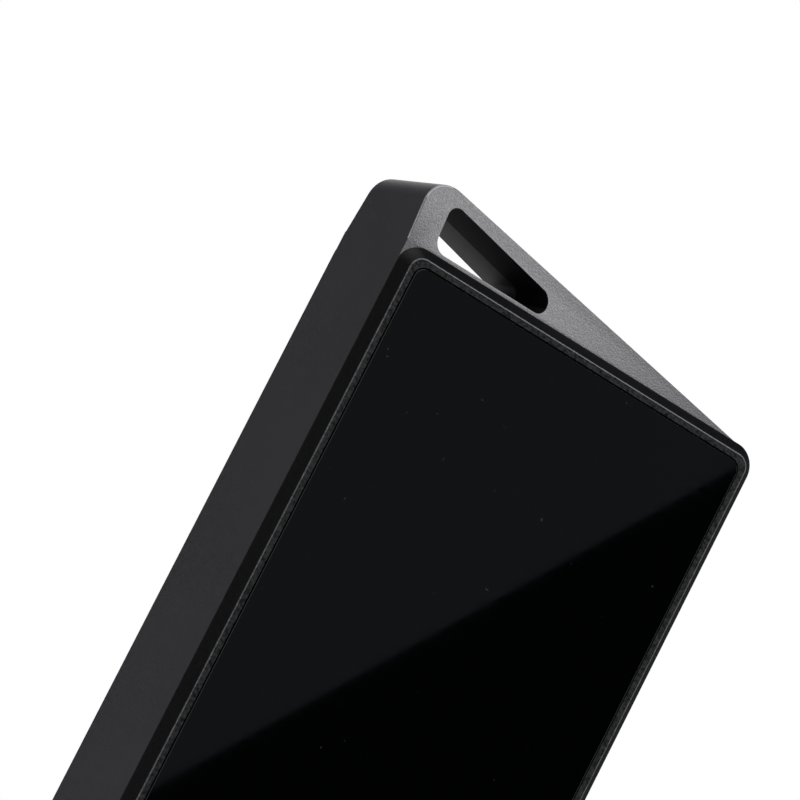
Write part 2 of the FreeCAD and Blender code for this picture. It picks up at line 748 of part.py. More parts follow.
# Packages on the board, as left, low, wide, tall, deep
chips = {
    "processor_chip": ("-7", f"{boardHigh} - 18.5", "9", "9", "0.9"),
    "memory_chip": ("3.2", f"{boardHigh} - 18.8", "6.5", "9.8", "0.9"),
    "power_chip": ("-4.5", f"{boardLow} + 12.3", "5", "5", "0.8"),
}


def makeBoard():
    body = newBody("main_board")
    outline = [
        (f"-{boardHalf}", boardLow, "boardCorner"),
        ("boardNotchSide", boardLow, "boardCorner"),
        ("boardNotchSide", f"{boardLow} + boardNotchTall", "boardCorner"),
        (boardHalf, f"{boardLow} + boardNotchTall", "boardCorner"),
        (boardHalf, boardHigh, "boardCorner"),
        (f"-{boardHalf}", boardHigh, "boardCorner"),
    ]
    grow(body, "BoardSheet", "XZ_Plane", boardFront, [outline], "boardThick", 1)
    holes = [disc(x, z, "shankRadius + holeGap") for x, z in boardSpots]
    carve(body, "BoardHoles", "XZ_Plane", boardFront, holes, "boardThick", 1)
    for label, (x, z, wide, tall, deep) in chips.items():
        keep(label, block(label, (x, boardBack, z), (wide, deep, tall)))
    low = f"{boardHigh} - shieldDrop"
    outer = block("ShieldOuter", ("-shieldLeft", boardBack, low), ("shieldWide", "shieldDeep", "shieldTall"))
    inner = block("ShieldInner", ("-shieldLeft + shieldWall", boardBack, f"{low} + shieldWall"),
                  ("shieldWide - 2 * shieldWall", "shieldDeep - shieldWall", "shieldTall - 2 * shieldWall"))
    keep("processor_shield", less("ProcessorShield", outer, inner))
    foot = f"{boardHigh} - plugDrop"
    sideX = f"-{boardHalf} + boardCorner"
    plugs = [
        block("DisplayPlug", ("screenFlexFrom + flexSpare", boardBack, foot),
              ("screenFlexWide - 2 * flexSpare", "plugTall", "plugHigh")),
        block("TalkPlug", ("talkFlexFrom + flexSpare * 0.6", boardBack, foot),
              ("talkFlexWide - flexSpare * 1.2", "plugTall", "plugHigh")),
        block("BatteryPlug", ("leadFrom + fitGap", boardBack, foot),
              ("leadWide - 2 * fitGap", "plugTall", "plugHigh")),
        block("SidePlug", (sideX, boardBack, f"{boardHigh} - sidePlugDrop"),
              ("sidePlugWide", "plugTall", "sidePlugHigh")),
    ]
    gather("board_connectors", plugs)


def makeAntenna():
    body = newBody("antenna_carrier")
    carrierFront = f"({boardBack} + carrierUp)"
    carrierBack = f"({carrierFront} + carrierThick)"
    top = f"({boardHigh} - carrierDrop)"
    side = f"({boardHalf} - carrierInset)"
    outline = span(f"-{side}", side, f"{top} - carrierTall", top, "carrierCorner")
    grow(body, "CarrierSheet", "XZ_Plane", carrierFront, [outline], "carrierThick", 1)
    legs = [disc(x, z, "legRadius") for x, z in legSpots]
    grow(body, "CarrierLegs", "XZ_Plane", boardBack, legs, "carrierUp", 1)
    bores = [disc(x, z, "shankRadius + holeGap") for x, z in legSpots]
    carve(body, "CarrierBores", "XZ_Plane", boardBack, bores, "legSeat + carrierThick", 1)
    wells = [disc(x, z, "wellRadius") for x, z in legSpots]
    carve(body, "CarrierWells", "XZ_Plane", carrierBack, wells, "carrierUp + carrierThick - legSeat", -1)
    reach = "standoffTall + chassisThick + boardThick - threadSpare"
    screws("board_screws", legSpots, f"({boardBack} + legSeat)", f"{reach} + legSeat")
    screws("board_end_screws", endSpots, boardBack, reach)
    foil = block("AntennaFoil", ("-foilWide / 2", carrierBack, f"{boardHigh} - foilInset - foilTall"),
                 ("foilWide", "foilThick", "foilTall"))
    keep("antenna_flex", foil)
    pins = []
    for i, x in enumerate(("-foilWide / 2 + foilThick", "foilWide / 2 + contactRadius + foilThick")):
        start = (x, boardBack, f"{boardHigh} - contactDrop")
        pins.append(rod(f"AntennaPin{i}", start, "contactRadius", "carrierUp", "y"))
    gather("antenna_contacts", pins)


def makeSocket():
    body = newBody("usb_c_receptacle")
    shell = plate("0", socketLevel, "socketWide", "socketDeep", "socketDeep / 2 - endLand")
    grow(body, "SocketShell", "XY_Plane", "socketSunk", [shell], "socketLong", 1)
    hollow = plate("0", socketLevel, "socketWide - 2 * socketWall", "socketDeep - 2 * socketWall",
                   "socketDeep / 2 - socketWall - endLand")
    carve(body, "SocketHollow", "XY_Plane", "socketSunk", [hollow], "socketLong - socketFloor", 1)
    tongue = plate("0", socketLevel, "tongueWide", "tongueThick")
    grow(body, "SocketTongue", "XY_Plane", "socketSunk + socketFloor", [tongue],
         "socketLong - 2 * socketFloor", 1)


def makeTray():
    outside = "(-frameWidth / 2)"
    inside = f"(-{innerSide})"
    body = newBody("sim_tray")
    head = plate(trayLevel, "trayAt", "trayHeadDeep", "trayHeadLong", "trayHeadDeep / 2 - endLand")
    grow(body, "TrayHead", "YZ_Plane", outside, [head], "sideWall", 1)
    leaf = plate(trayLevel, "trayAt", "trayThick", "trayWide")
    grow(body, "TrayLeaf", "YZ_Plane", inside, [leaf], "trayLong", 1)
    window = span(f"{inside} + trayLip", f"{inside} + trayLip + cardLong", "trayAt - cardWide / 2",
                  "trayAt + cardWide / 2", "cardCorner")
    carve(body, "CardWindow", "XZ_Plane", f"{trayLevel} + trayThick", [window], "2 * trayThick", -1)
    pinhole = disc(trayLevel, "trayAt + trayHeadLong / 2 - ejectInset", "ejectRadius")
    carve(body, "EjectHole", "YZ_Plane", outside, [pinhole], "sideWall - ejectFloor", 1)
    reader = newBody("sim_reader")
    low = f"{inside} + readerFrom"
    high = f"{inside} + trayLong + readerSpare"
    shell = span(low, high, "trayAt - trayWide / 2 - readerWall", "trayAt + trayWide / 2 + readerWall", "0.5")
    grow(reader, "ReaderCase", "XZ_Plane", boardBack, [shell], "readerDeep", 1)
    room = plate(trayLevel, "trayAt", "trayThick + 2 * trayGap", "trayWide + 2 * fitGap")
    carve(reader, "ReaderSlot", "YZ_Plane", low, [room], "trayLong", 1)


def makeBattery():
    tapeBack = f"({chassisBack} + tapeThick)"
    tall = f"{batteryHigh} - {batteryLow}"
    tape = block("BatteryTape", (f"-{batteryHalf} + tapeInset", chassisBack, f"{batteryLow} + tapeInset"),
                 (f"2 * ({batteryHalf} - tapeInset)", "tapeThick", f"{tall} - 2 * tapeInset"))
    keep("battery_tape", tape)
    body = newBody("battery_cell")
    outline = span(f"-{batteryHalf}", batteryHalf, batteryLow, batteryHigh, "batteryCorner")
    grow(body, "BatteryPouch", "XZ_Plane", tapeBack, [outline], "batteryThick", 1)

    def longEdge(edge):
        return liesAt(edge, "y", amount(f"{tapeBack} + batteryThick"))
    dress("Fillet", body, "BatteryRound", longEdge, "batteryRound")
    lead = block("BatteryLead", ("leadFrom", plugBack, plugFoot),
                 ("leadWide", "flexThick", f"{batteryLow} - {plugFoot}"))
    keep("battery_lead", lead)


def makeSound():
    meshBack = "(endWall + meshThick)"
    mesh = block("SpeakerMesh", ("speakerLow + meshThick * 2", "soundLevel - meshDeep / 2", "endWall"),
                 ("speakerWide - meshThick * 4", "meshDeep", "meshThick"))
    keep("speaker_mesh", mesh)
    case = block("SpeakerCase", ("speakerLow", chassisBack, meshBack),
                 ("speakerWide", "speakerDeep", "speakerLong"))
    throat = block("SpeakerThroat", ("speakerLow + throatInset", "soundLevel - throatDeep / 2", meshBack),
                   ("speakerWide - 2 * throatInset", "throatDeep", "throatLong"))
    keep("speaker_module", less("Speaker", case, throat))
    spot = ("speakerLow + speakerWide / 2 + motorOffset", chassisBack, "motorAt")
    motor = rod("Motor", spot, "motorRadius", "motorDeep", "y")
    keep("vibration_motor", motor)
    low = block("LowMicrophone", (f"{microphoneX} - micWide / 2", boardBack, f"{boardLow} + micGap"),
                ("micWide", "micDeep", "micTall"))
    keep("bottom_microphone", low)
    boot = block("BootBlock", (f"{microphoneX} - bootWide / 2", f"{boardBack} - bootFront", "endWall"),
                 ("bootWide", "bootDeep", f"{boardLow} - endWall"))
    bore = rod("BootBore", (microphoneX, microphoneY, "endWall"), "pinholeRadius", "2 * boardEndGap", "z")
    keep("microphone_boot", less("MicrophoneBoot", boot, bore))
    micFront = f"({talkCardFace} - frontMicDeep)"
    high = block("HighMicrophone", ("-frontMicWide / 2", micFront, f"{talkHeight} - frontMicTall / 2"),
                 ("frontMicWide", "frontMicDeep", "frontMicTall"))
    keep("front_microphone", high)
    ringDeep = f"{micFront} - {frontInside}"
    ring = rod("MicRing", ("0", frontInside, talkHeight), "gasketRadius", ringDeep, "y")
    ringBore = rod("MicRingBore", ("0", frontInside, talkHeight), "pinholeRadius", ringDeep, "y")
    keep("front_microphone_gasket", less("MicGasket", ring, ringBore))


def makeTalkKeys():
    card = newBody("talk_key_board")
    outline = span(f"-{screenHalf} + plateGap", f"{screenHalf} - plateGap", f"{talkHeight} - talkCardLow",
                   f"{talkHeight} + talkCardHigh", "1")
    grow(card, "TalkCard", "XZ_Plane", chassisFront, [outline], "talkCardThick", -1)
    domes = []
    for label, x in talkSpots.items():
        domes.append(rod(label + "Dome", (x, f"{talkCardFace} - talkDomeTall", talkHeight), "talkDomeRadius",
                         "talkDomeTall", "y"))
        body = newBody(label)
        wide, tall = "(talkWide - 2 * talkGap)", "(talkTall - 2 * talkGap)"
        cap = plate(x, talkHeight, wide, tall, f"{tall} / 2 - endLand")
        capDeep = f"talkProud + {frontInside} - {frontRim} + fitGap"
        grow(body, label + "Cap", "XZ_Plane", f"{frontRim} - talkProud", [cap], capDeep, 1)

        def capEdge(edge):
            return liesAt(edge, "y", amount(f"{frontRim} - talkProud"))
        dress("Fillet", body, label + "Round", capEdge, "talkProud * 0.7")
        lip = plate(x, talkHeight, f"{wide} + 2 * flangeLip", f"{tall} + 2 * flangeLip",
                    f"{tall} / 2 + flangeLip - endLand")
        grow(body, label + "Flange", "XZ_Plane", f"{frontInside} + keyRest", [lip], "flangeThick", 1)
    gather("talk_key_domes", domes)
    bentFlex("talk_key_flex", "talkFlexFrom", "talkFlexWide", f"({chassisFront} - flexThick)",
             f"{talkHeight} - talkCardLow", f"{windowHigh} - 3.5 * flexThick", f"{boardHigh} - 6")


def makeSideKeys():
    outside = "(-frameWidth / 2)"
    inside = f"(-{innerSide})"
    flangeBack = f"({inside} + keyRest + flangeThick)"
    nubEnd = f"({flangeBack} + nubTall)"
    domeOuter = f"({nubEnd} + keyTravel + keyRest)"
    flexOuter = f"({domeOuter} + domeTall)"
    bracketOuter = f"({flexOuter} + flexThick)"
    domes = []
    for label, (at, tall) in keySpots.items():
        body = newBody(label)
        cap = plate("0", at, "keyDeep", tall, "keyDeep / 2 - endLand")
        grow(body, label + "Cap", "YZ_Plane", f"{outside} - keyProud", [cap],
             "keyProud + sideWall + 2 * keyRest", 1)

        def capEdge(edge):
            return liesAt(edge, "x", amount(f"{outside} - keyProud"))
        dress("Fillet", body, label + "Round", capEdge, "keyProud * 0.6")
        lip = plate("0", at, "keyDeep + 2 * flangeLip", f"{tall} + 2 * flangeLip", "keyDeep / 2")
        grow(body, label + "Flange", "YZ_Plane", f"{inside} + keyRest", [lip], "flangeThick", 1)
        nub = [disc("0", at, "nubRadius")]
        grow(body, label + "Nub", "YZ_Plane", flangeBack, nub, f"{nubEnd} - {flangeBack}", 1)
        domes.append(rod(label + "Dome", (domeOuter, "0", at), "domeRadius", "domeTall", "x"))
    gather("side_key_domes", domes)
    top = f"{powerAt} + powerLong / 2 + bracketEnd"
    tailLow = f"({boardHigh} - sidePlugDrop - threadSpare)"
    strip = block("SideStrip", (flexOuter, "-keyFlexFront", tailLow),
                  ("flexThick", "keyFlexDeep", f"{top} - {tailLow}"))
    tailEnd = f"-{boardHalf} + boardCorner + sidePlugWide + flexThick"
    tail = block("SideTail", (flexOuter, plugBack, tailLow),
                 (f"{tailEnd} - {flexOuter}", "flexThick", "keyTailTall"))
    keep("side_key_flex", joined("SideFlex", [strip, tail]))
    bracketLow = f"({batteryLow} + bracketEnd)"
    tall = f"{top} - {bracketLow}"
    corner = (bracketOuter, chassisBack, bracketLow)
    wall = block("BracketWall", corner, ("bracketThick", "bracketDeep", tall))
    foot = block("BracketFoot", corner, ("bracketFoot", "bracketThick", tall))
    keep("side_key_bracket", joined("SideBracket", [wall, foot]))


makeFrame()
makeBackCover()
glassInset = "(backChamfer + backRim + glassGap)"
rearGlassHigh = f"frameLength - {glassInset}"
glassPanel("rear_glass", 1, glassInset, rearGlassHigh, glassInset, f"({backRim} + glassProud)",
           "backGlassThick", None)
makeFrontCover()
frontInset = "(frontChamfer + frontRim + glassGap)"
glassPanel("front_glass", -1, frontInset, frontGlassHigh, frontInset, frontRim, "frontGlassThick",
           screenOutline("2 * fitGap"))
makeScreen()
makeChassis()
makeBoard()
makeAntenna()
makeSocket()
makeTray()
makeBattery()
makeSound()
makeTalkKeys()
makeSideKeys()
doc.recompute()

for item in doc.Objects:
    if "Invalid" in item.State or "Error" in item.State:
        raise RuntimeError(f"{item.Label} did not compute: {item.State}")
os.makedirs("parts", exist_ok=True)
for label, piece in nodes.items():
    if piece.Shape.isNull() or not piece.Shape.isValid():
        raise RuntimeError(f"{label} has no valid shape")
for label, piece in nodes.items():
    piece.Shape.exportStep(f"parts/{label}.step")
    print(label, len(piece.Shape.Solids), round(piece.Shape.Volume, 2))
print(len(nodes), "nodes")
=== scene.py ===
import json
import math

import bmesh
import bpy
from mathutils import Matrix, Vector

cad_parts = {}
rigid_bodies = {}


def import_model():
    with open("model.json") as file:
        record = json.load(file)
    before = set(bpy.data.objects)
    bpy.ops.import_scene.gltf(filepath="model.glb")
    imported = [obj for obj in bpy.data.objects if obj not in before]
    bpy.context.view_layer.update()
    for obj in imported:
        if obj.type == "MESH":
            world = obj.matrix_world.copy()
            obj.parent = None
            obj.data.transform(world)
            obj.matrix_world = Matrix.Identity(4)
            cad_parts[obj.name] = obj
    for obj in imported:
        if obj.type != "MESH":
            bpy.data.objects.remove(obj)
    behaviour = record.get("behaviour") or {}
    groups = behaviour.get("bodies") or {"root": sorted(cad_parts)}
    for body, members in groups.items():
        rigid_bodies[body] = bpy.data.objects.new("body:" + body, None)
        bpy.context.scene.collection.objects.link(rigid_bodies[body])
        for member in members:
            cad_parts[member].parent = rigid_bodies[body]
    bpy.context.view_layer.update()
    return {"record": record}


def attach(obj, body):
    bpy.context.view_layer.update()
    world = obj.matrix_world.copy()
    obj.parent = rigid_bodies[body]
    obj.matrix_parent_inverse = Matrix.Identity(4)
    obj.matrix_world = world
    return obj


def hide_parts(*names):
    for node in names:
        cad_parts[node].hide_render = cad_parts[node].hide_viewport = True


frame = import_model()
mm = 0.001  # pieces are sized in millimetres, Blender works in metres


# Node materials. Sizes in a finish are in metres, and noise scales are per metre

def newMaterial(name):
    material = bpy.data.materials.new(name)
    material.use_nodes = True
    material.node_tree.nodes.clear()
    return material, material.node_tree


def feed(tree, socket, value):  # value is another node's output, or a plain value
    if isinstance(value, bpy.types.NodeSocket):
        tree.links.new(value, socket)
    else:
        socket.default_value = value


def addNode(tree, kind, settings=None, **inputs):  # an underscore in an input's name is a space
    node = tree.nodes.new(kind)
    for key, value in (settings or {}).items():
        setattr(node, key, value)
    for key, value in inputs.items():
        feed(tree, node.inputs[key.replace("_", " ")], value)
    return node


def reckon(tree, operation, *values):
    made = addNode(tree, "ShaderNodeMath", {"operation": operation})
    for socket, value in zip(made.inputs, values):
        feed(tree, socket, value)
    return made.outputs[0]


def objectPlace(tree):
    return addNode(tree, "ShaderNodeTexCoord").outputs["Object"]


def noiseOn(tree, place, scale, detail=2.0, rough=0.5):
    made = addNode(tree, "ShaderNodeTexNoise", Vector=place, Scale=scale, Detail=detail,
                   Roughness=rough)
    return made.outputs["Fac"]


def ramp(tree, value, fromLow, fromHigh, toLow=0.0, toHigh=1.0):
    made = addNode(tree, "ShaderNodeMapRange", Value=value, From_Min=fromLow, From_Max=fromHigh,
                   To_Min=toLow, To_Max=toHigh)
    return made.outputs["Result"]


mixSockets = (0, 6, 7)  # the factor and the two colours of a colour mix; its result is output 2


def mixColour(tree, factor, first, second):
    made = addNode(tree, "ShaderNodeMix", {"data_type": "RGBA"})
    for index, value in zip(mixSockets, (factor, first, second)):
        feed(tree, made.inputs[index], value)
    return made.outputs[2]


def addBump(tree, height, distance):
    made = addNode(tree, "ShaderNodeBump", Height=height, Distance=distance, Strength=1.0)
    return made.outputs["Normal"]


def grey(level):
    return (level, level, level, 1.0)


def shade(tree, colour, roughness, normal=None, metal=0.0, specular=0.5, ior=1.5):
    shader = addNode(tree, "ShaderNodeBsdfPrincipled", Base_Color=colour, Roughness=roughness,
                     Metallic=metal, Specular_IOR_Level=specular, IOR=ior)
    if normal is not None:
        feed(tree, shader.inputs["Normal"], normal)
    addNode(tree, "ShaderNodeOutputMaterial", Surface=shader.outputs[0])


# The part of a noise's range that is stretched over the full range
grainSpread = (0.25, 0.75)
cloudSpread = (0.3, 0.7)
stainSpread = (0.35, 0.65)
cellSpread = (0.1, 0.6)
slowClouds = 90.0


# Moulded, painted or blasted surfaces: fine grain with small specks, over slow clouds
def grained(name, look):
    material, tree = newMaterial(name)
    place = objectPlace(tree)
    grain = noiseOn(tree, place, look["grain"], detail=3.0, rough=0.6)
    cloud = noiseOn(tree, place, slowClouds, detail=3.0)
    tint = mixColour(tree, ramp(tree, cloud, *cloudSpread), look["dark"], look["light"])
    speck = ramp(tree, grain, 0.5 - look["speckRange"], 0.5 + look["speckRange"])
    colour = mixColour(tree, speck, tint, look["speck"])
    rough = ramp(tree, grain, *grainSpread, look["rough"] - look["roughSpan"],
                 look["rough"] + look["roughSpan"])
    shade(tree, colour, rough, addBump(tree, grain, look["bump"]),
          specular=look.get("specular", 0.5))
    return material


framePlastic = {
    "grain": 5200.0, "dark": (0.026, 0.0255, 0.0305, 1), "light": (0.032, 0.0315, 0.0385, 1),
    "speck": (0.047, 0.047, 0.053, 1), "speckRange": 0.22, "rough": 0.40, "roughSpan": 0.07,
    "bump": 0.00003, "specular": 0.5,
}
coverPlastic = {
    "grain": 4200.0, "dark": (0.003, 0.003, 0.0035, 1), "light": (0.004, 0.004, 0.0046, 1),
    "speck": (0.007, 0.007, 0.0078, 1), "speckRange": 0.22, "rough": 0.32, "roughSpan": 0.05,
    "bump": 0.000008, "specular": 0.15,
}
rimPlastic = {
    "grain": 2600.0, "dark": (0.0012, 0.0013, 0.0015, 1), "light": (0.003, 0.0032, 0.0036, 1),
    "speck": (0.018, 0.019, 0.020, 1), "speckRange": 0.14, "rough": 0.45, "roughSpan": 0.14,
    "bump": 0.00007, "specular": 0.05,
}
keyPlastic = {
    "grain": 5200.0, "dark": (0.018, 0.018, 0.020, 1), "light": (0.024, 0.024, 0.027, 1),
    "speck": (0.034, 0.034, 0.037, 1), "speckRange": 0.24, "rough": 0.36, "roughSpan": 0.06,
    "bump": 0.00001, "specular": 0.5,
}
talkPlastic = {
    "grain": 2600.0, "dark": (0.016, 0.016, 0.018, 1), "light": (0.020, 0.020, 0.022, 1),
    "speck": (0.026, 0.026, 0.028, 1), "speckRange": 0.3, "rough": 0.22, "roughSpan": 0.05,
    "bump": 0.000006, "specular": 0.5,
}


# Black-backed glass: wipe marks in its gloss, dust, a slow tint, and a display if it has one
def glassLook(name, look):
    material, tree = newMaterial(name)
    place = objectPlace(tree)
    wiped = addNode(tree, "ShaderNodeMapping", Vector=place, Scale=look["wipeScale"],
                    Rotation=(0, look["wipeTurn"], 0))
    wipe = noiseOn(tree, wiped.outputs[0], 1.0, detail=4.0, rough=0.6)
    dust = noiseOn(tree, place, look["dust"], detail=1.0)
    cloud = noiseOn(tree, place, look["clouds"])
    colour = mixColour(tree, ramp(tree, cloud, *stainSpread), look["dark"], look["light"])
    if "window" in look:
        split = addNode(tree, "ShaderNodeSeparateXYZ", Vector=place)
        inside = None
        for axis, low, high in look["window"]:
            for level, sign in ((low, 1.0), (high, -1.0)):
                reach = reckon(tree, "MULTIPLY_ADD", split.outputs[axis], sign, -sign * level)
                step = ramp(tree, reach, -look["windowSoft"], look["windowSoft"])
                inside = step if inside is None else reckon(tree, "MULTIPLY", inside, step)
        colour = mixColour(tree, inside, colour, look["panel"])
    specks = ramp(tree, dust, *look["dustSpread"], 0.0, look["dustLevel"])
    colour = mixColour(tree, specks, colour, look["dustColour"])
    rough = ramp(tree, wipe, *look["wipeSpread"], look["rough"], look["rough"] + look["wipe"])
    shade(tree, colour, rough, specular=look["specular"], ior=look["ior"])
    return material


rearGlassLook = {
    "wipeScale": (120.0, 1.0, 900.0), "wipeTurn": 0.6, "wipeSpread": (0.35, 0.75), "clouds": 45.0,
    "dust": 1700.0, "dustLevel": 0.15, "dustSpread": (0.80, 0.84), "dustColour": grey(0.12),
    "dark": (0.0003, 0.0004, 0.0005, 1), "light": (0.0005, 0.0006, 0.0007, 1),
    "rough": 0.018, "wipe": 0.02, "specular": 0.5, "ior": 1.5,
}
frontGlassLook = dict(
    rearGlassLook, window=(("X", -0.0168, 0.0168), ("Z", 0.0080, 0.0800)), windowSoft=0.00003,
    panel=(0.0040, 0.0042, 0.0052, 1), wipeTurn=-0.4)
metalWear = {"stain": 260.0, "smoother": 0.07, "rougher": 0.09}


# Bare or plated metal: grain drawn out along one axis, stain and uneven gloss
def metalLook(name, look):
    material, tree = newMaterial(name)
    place = objectPlace(tree)
    stretched = addNode(tree, "ShaderNodeMapping", Vector=place, Scale=look["stretch"])
    grain = noiseOn(tree, stretched.outputs[0], look["grain"], detail=3.0, rough=0.6)
    stain = noiseOn(tree, place, metalWear["stain"], detail=3.0)
    colour = mixColour(tree, ramp(tree, stain, *stainSpread), look["dark"], look["light"])
    rough = ramp(tree, grain, *grainSpread, look["rough"] - metalWear["smoother"],
                 look["rough"] + metalWear["rougher"])
    shade(tree, colour, rough, addBump(tree, grain, look["bump"]), look.get("metal", 1.0))
    return material


# Wire mesh or closed-cell foam: small cells, each darker in its middle
def cellLook(name, look):
    material, tree = newMaterial(name)
    cells = addNode(tree, "ShaderNodeTexVoronoi", Vector=objectPlace(tree), Scale=look["cells"])
    depth = cells.outputs["Distance"]
    colour = mixColour(tree, ramp(tree, depth, *cellSpread), look["dark"], look["light"])
    shade(tree, colour, look["rough"], addBump(tree, depth, look["bump"]), look.get("metal", 0.0))
    return material


# Solder mask with copper tracks just under it
def boardLook(name, look):
    material, tree = newMaterial(name)
    place = objectPlace(tree)
    tracks = addNode(tree, "ShaderNodeTexBrick", {"offset": look["offset"], "squash": 1.0},
                     Vector=place, Scale=look["tracks"], Mortar_Size=look["gap"])
    cloud = noiseOn(tree, place, look["clouds"])
    base = mixColour(tree, ramp(tree, cloud, *cloudSpread), look["dark"], look["light"])
    colour = mixColour(tree, tracks.outputs["Fac"], base, look["copper"])
    shade(tree, colour, look["rough"], addBump(tree, tracks.outputs["Fac"], look["bump"]))
    return material


# One finish for each material slot of the record
finishes = {
    "frame_plastic": grained("matt charcoal paint", framePlastic),
    "cover_plastic": grained("satin black plastic", coverPlastic),
    "black_glass": glassLook("black rear glass", rearGlassLook),
    "key_plastic": grained("key plastic", keyPlastic),
    "tray_plastic": grained("tray plastic", dict(framePlastic, rough=0.42)),
    "talk_plastic": grained("talk key plastic", talkPlastic),
    "chip_black": grained("chip package", dict(keyPlastic, grain=2600.0, rough=0.55)),
    "plug_plastic": grained("plug plastic", {
        "grain": 2400.0, "dark": grey(0.50), "light": grey(0.56), "speck": grey(0.62),
        "speckRange": 0.3, "rough": 0.45, "roughSpan": 0.06, "bump": 0.00001}),
    "speaker_body": grained("speaker case", dict(coverPlastic, rough=0.5)),
    "rubber_black": grained("boot rubber", dict(coverPlastic, grain=1800.0, rough=0.75)),
    "adhesive": grained("adhesive film", dict(coverPlastic, grain=1500.0, rough=0.6)),
    "screen": grained("screen film", dict(talkPlastic, rough=0.2)),
    "light_box": grained("light box", {
        "grain": 1400.0, "dark": grey(0.60), "light": grey(0.66), "speck": grey(0.72),
        "speckRange": 0.3, "rough": 0.4, "roughSpan": 0.05, "bump": 0.000008}),
    "flex": grained("polyimide film", {
        "grain": 2200.0, "dark": (0.34, 0.15, 0.03, 1), "light": (0.42, 0.19, 0.04, 1),
        "speck": (0.48, 0.24, 0.06, 1), "speckRange": 0.3, "rough": 0.32, "roughSpan": 0.05,
        "bump": 0.000008}),
    "foam": cellLook("closed-cell foam", {
        "cells": 2600.0, "dark": grey(0.02), "light": grey(0.06), "rough": 0.9, "bump": 0.00005}),
    "mesh_steel": cellLook("woven wire mesh", {
        "cells": 5200.0, "dark": grey(0.02), "light": grey(0.28), "rough": 0.45, "bump": 0.00006,
        "metal": 0.8}),
    "board_green": boardLook("solder mask", {
        "tracks": 700.0, "offset": 0.37, "gap": 0.03, "clouds": 300.0,
        "dark": (0.008, 0.07, 0.03, 1), "light": (0.012, 0.10, 0.045, 1),
        "copper": (0.02, 0.16, 0.07, 1), "rough": 0.34, "bump": 0.00002}),
}
metals = {
    "chassis_metal": {"dark": grey(0.50), "light": grey(0.58), "grain": 500.0,
                      "stretch": (1, 1, 14), "rough": 0.34, "bump": 0.000006},
    "screw_steel": {"dark": grey(0.16), "light": grey(0.22), "grain": 2500.0,
                    "stretch": (1, 1, 1), "rough": 0.3, "bump": 0.000006},
    "shield_metal": {"dark": grey(0.60), "light": grey(0.68), "grain": 900.0,
                     "stretch": (10, 1, 1), "rough": 0.3, "bump": 0.000005},
    "antenna_foil": {"dark": (0.55, 0.34, 0.16, 1), "light": (0.66, 0.42, 0.2, 1), "grain": 900.0,
                     "stretch": (1, 1, 8), "rough": 0.32, "bump": 0.000006},
    "gold_pin": {"dark": (0.78, 0.56, 0.22, 1), "light": (0.86, 0.64, 0.28, 1), "grain": 3000.0,
                 "stretch": (1, 1, 1), "rough": 0.24, "bump": 0.000004},
    "socket_steel": {"dark": grey(0.52), "light": grey(0.60), "grain": 1600.0,
                     "stretch": (1, 1, 9), "rough": 0.26, "bump": 0.000004},
    "dome_steel": {"dark": grey(0.56), "light": grey(0.64), "grain": 2600.0,
                   "stretch": (1, 1, 1), "rough": 0.22, "bump": 0.000004},
    "battery_foil": {"dark": grey(0.42), "light": grey(0.50), "grain": 700.0,
                     "stretch": (1, 1, 5), "rough": 0.4, "bump": 0.00001, "metal": 0.7},
}
for slotName, metal in metals.items():
    finishes[slotName] = metalLook(slotName.replace("_", " "), metal)

# Finishes for single faces of a piece: the rim's texture, and painted shade and painted highlights
rimFinish = grained("textured black rim", rimPlastic)
# Painted shade: the frame's paint made darker and duller on the walls inside the eye's hole
holeShadeFinish = grained("paint inside the hole", dict(
    framePlastic, dark=(0.009, 0.009, 0.010, 1), light=(0.012, 0.012, 0.013, 1),
    speck=(0.018, 0.018, 0.020, 1), rough=0.55, specular=0.22))
# Deeper painted shade: darker still, on the hole's rear walls
holeDeepShadeFinish = grained("paint inside the hole, shaded half", dict(
    framePlastic, dark=(0.002, 0.002, 0.0022, 1), light=(0.003, 0.003, 0.0033, 1),
    speck=(0.005, 0.005, 0.0055, 1), rough=0.6, specular=0.06))
# Painted highlight: a light grey for narrow edge bands, standing in for a lamp's glint along them
edgeHighlightLook = {
    "grain": 5200.0, "dark": (0.16, 0.16, 0.17, 1), "light": (0.24, 0.24, 0.25, 1),
    "speck": (0.34, 0.34, 0.36, 1), "speckRange": 0.2, "rough": 0.36, "roughSpan": 0.08,
    "bump": 0.00002, "specular": 0.5,
}
eyeEdgeHighlightFinish = grained("rubbed paint edge", edgeHighlightLook)
# Painted highlight: a bright line along the outer edge of the rear cover's rim
rimEdgeHighlightFinish = grained("rubbed cover edge", dict(
    edgeHighlightLook, dark=(0.008, 0.0085, 0.009, 1), light=(0.02, 0.021, 0.022, 1),
    speck=(0.09, 0.094, 0.094, 1), specular=0.3))
frontGlassFinish = glassLook("black front glass", frontGlassLook)

slotOf = {part["node"]: part["material_slot"] for part in frame["record"]["subparts"]}
for nodeName, slotName in slotOf.items():
    for target in bpy.data.objects:
        if target.type == "MESH" and (target.name == nodeName
                                      or target.name.startswith(nodeName + ".")):
            for place in target.material_slots:
                place.material = finishes[slotName]
print("materials set on", len(slotOf), "nodes")


# Modelling helpers. Lengths given to them are in millimetres
straight = 0.999  # cosine from which two directions count as one
nearly = 1e-6  # metres within which two places count as one
past = 1.0  # how far a cutter stands out of what it cuts
smoothBelow = math.radians(40)


def startPiece(name, low, high):  # a box, left in edit mode with nothing selected
    bpy.ops.object.select_all(action="DESELECT")
    bpy.ops.mesh.primitive_cube_add(size=1.0)
    piece = bpy.context.object
    piece.name = name
    low, high = Vector(low) * mm, Vector(high) * mm
    piece.scale = high - low
    piece.location = (low + high) / 2
    bpy.ops.object.transform_apply(location=True, rotation=True, scale=True)
    bpy.ops.object.mode_set(mode="EDIT")
    bpy.ops.mesh.select_all(action="DESELECT")
    return piece


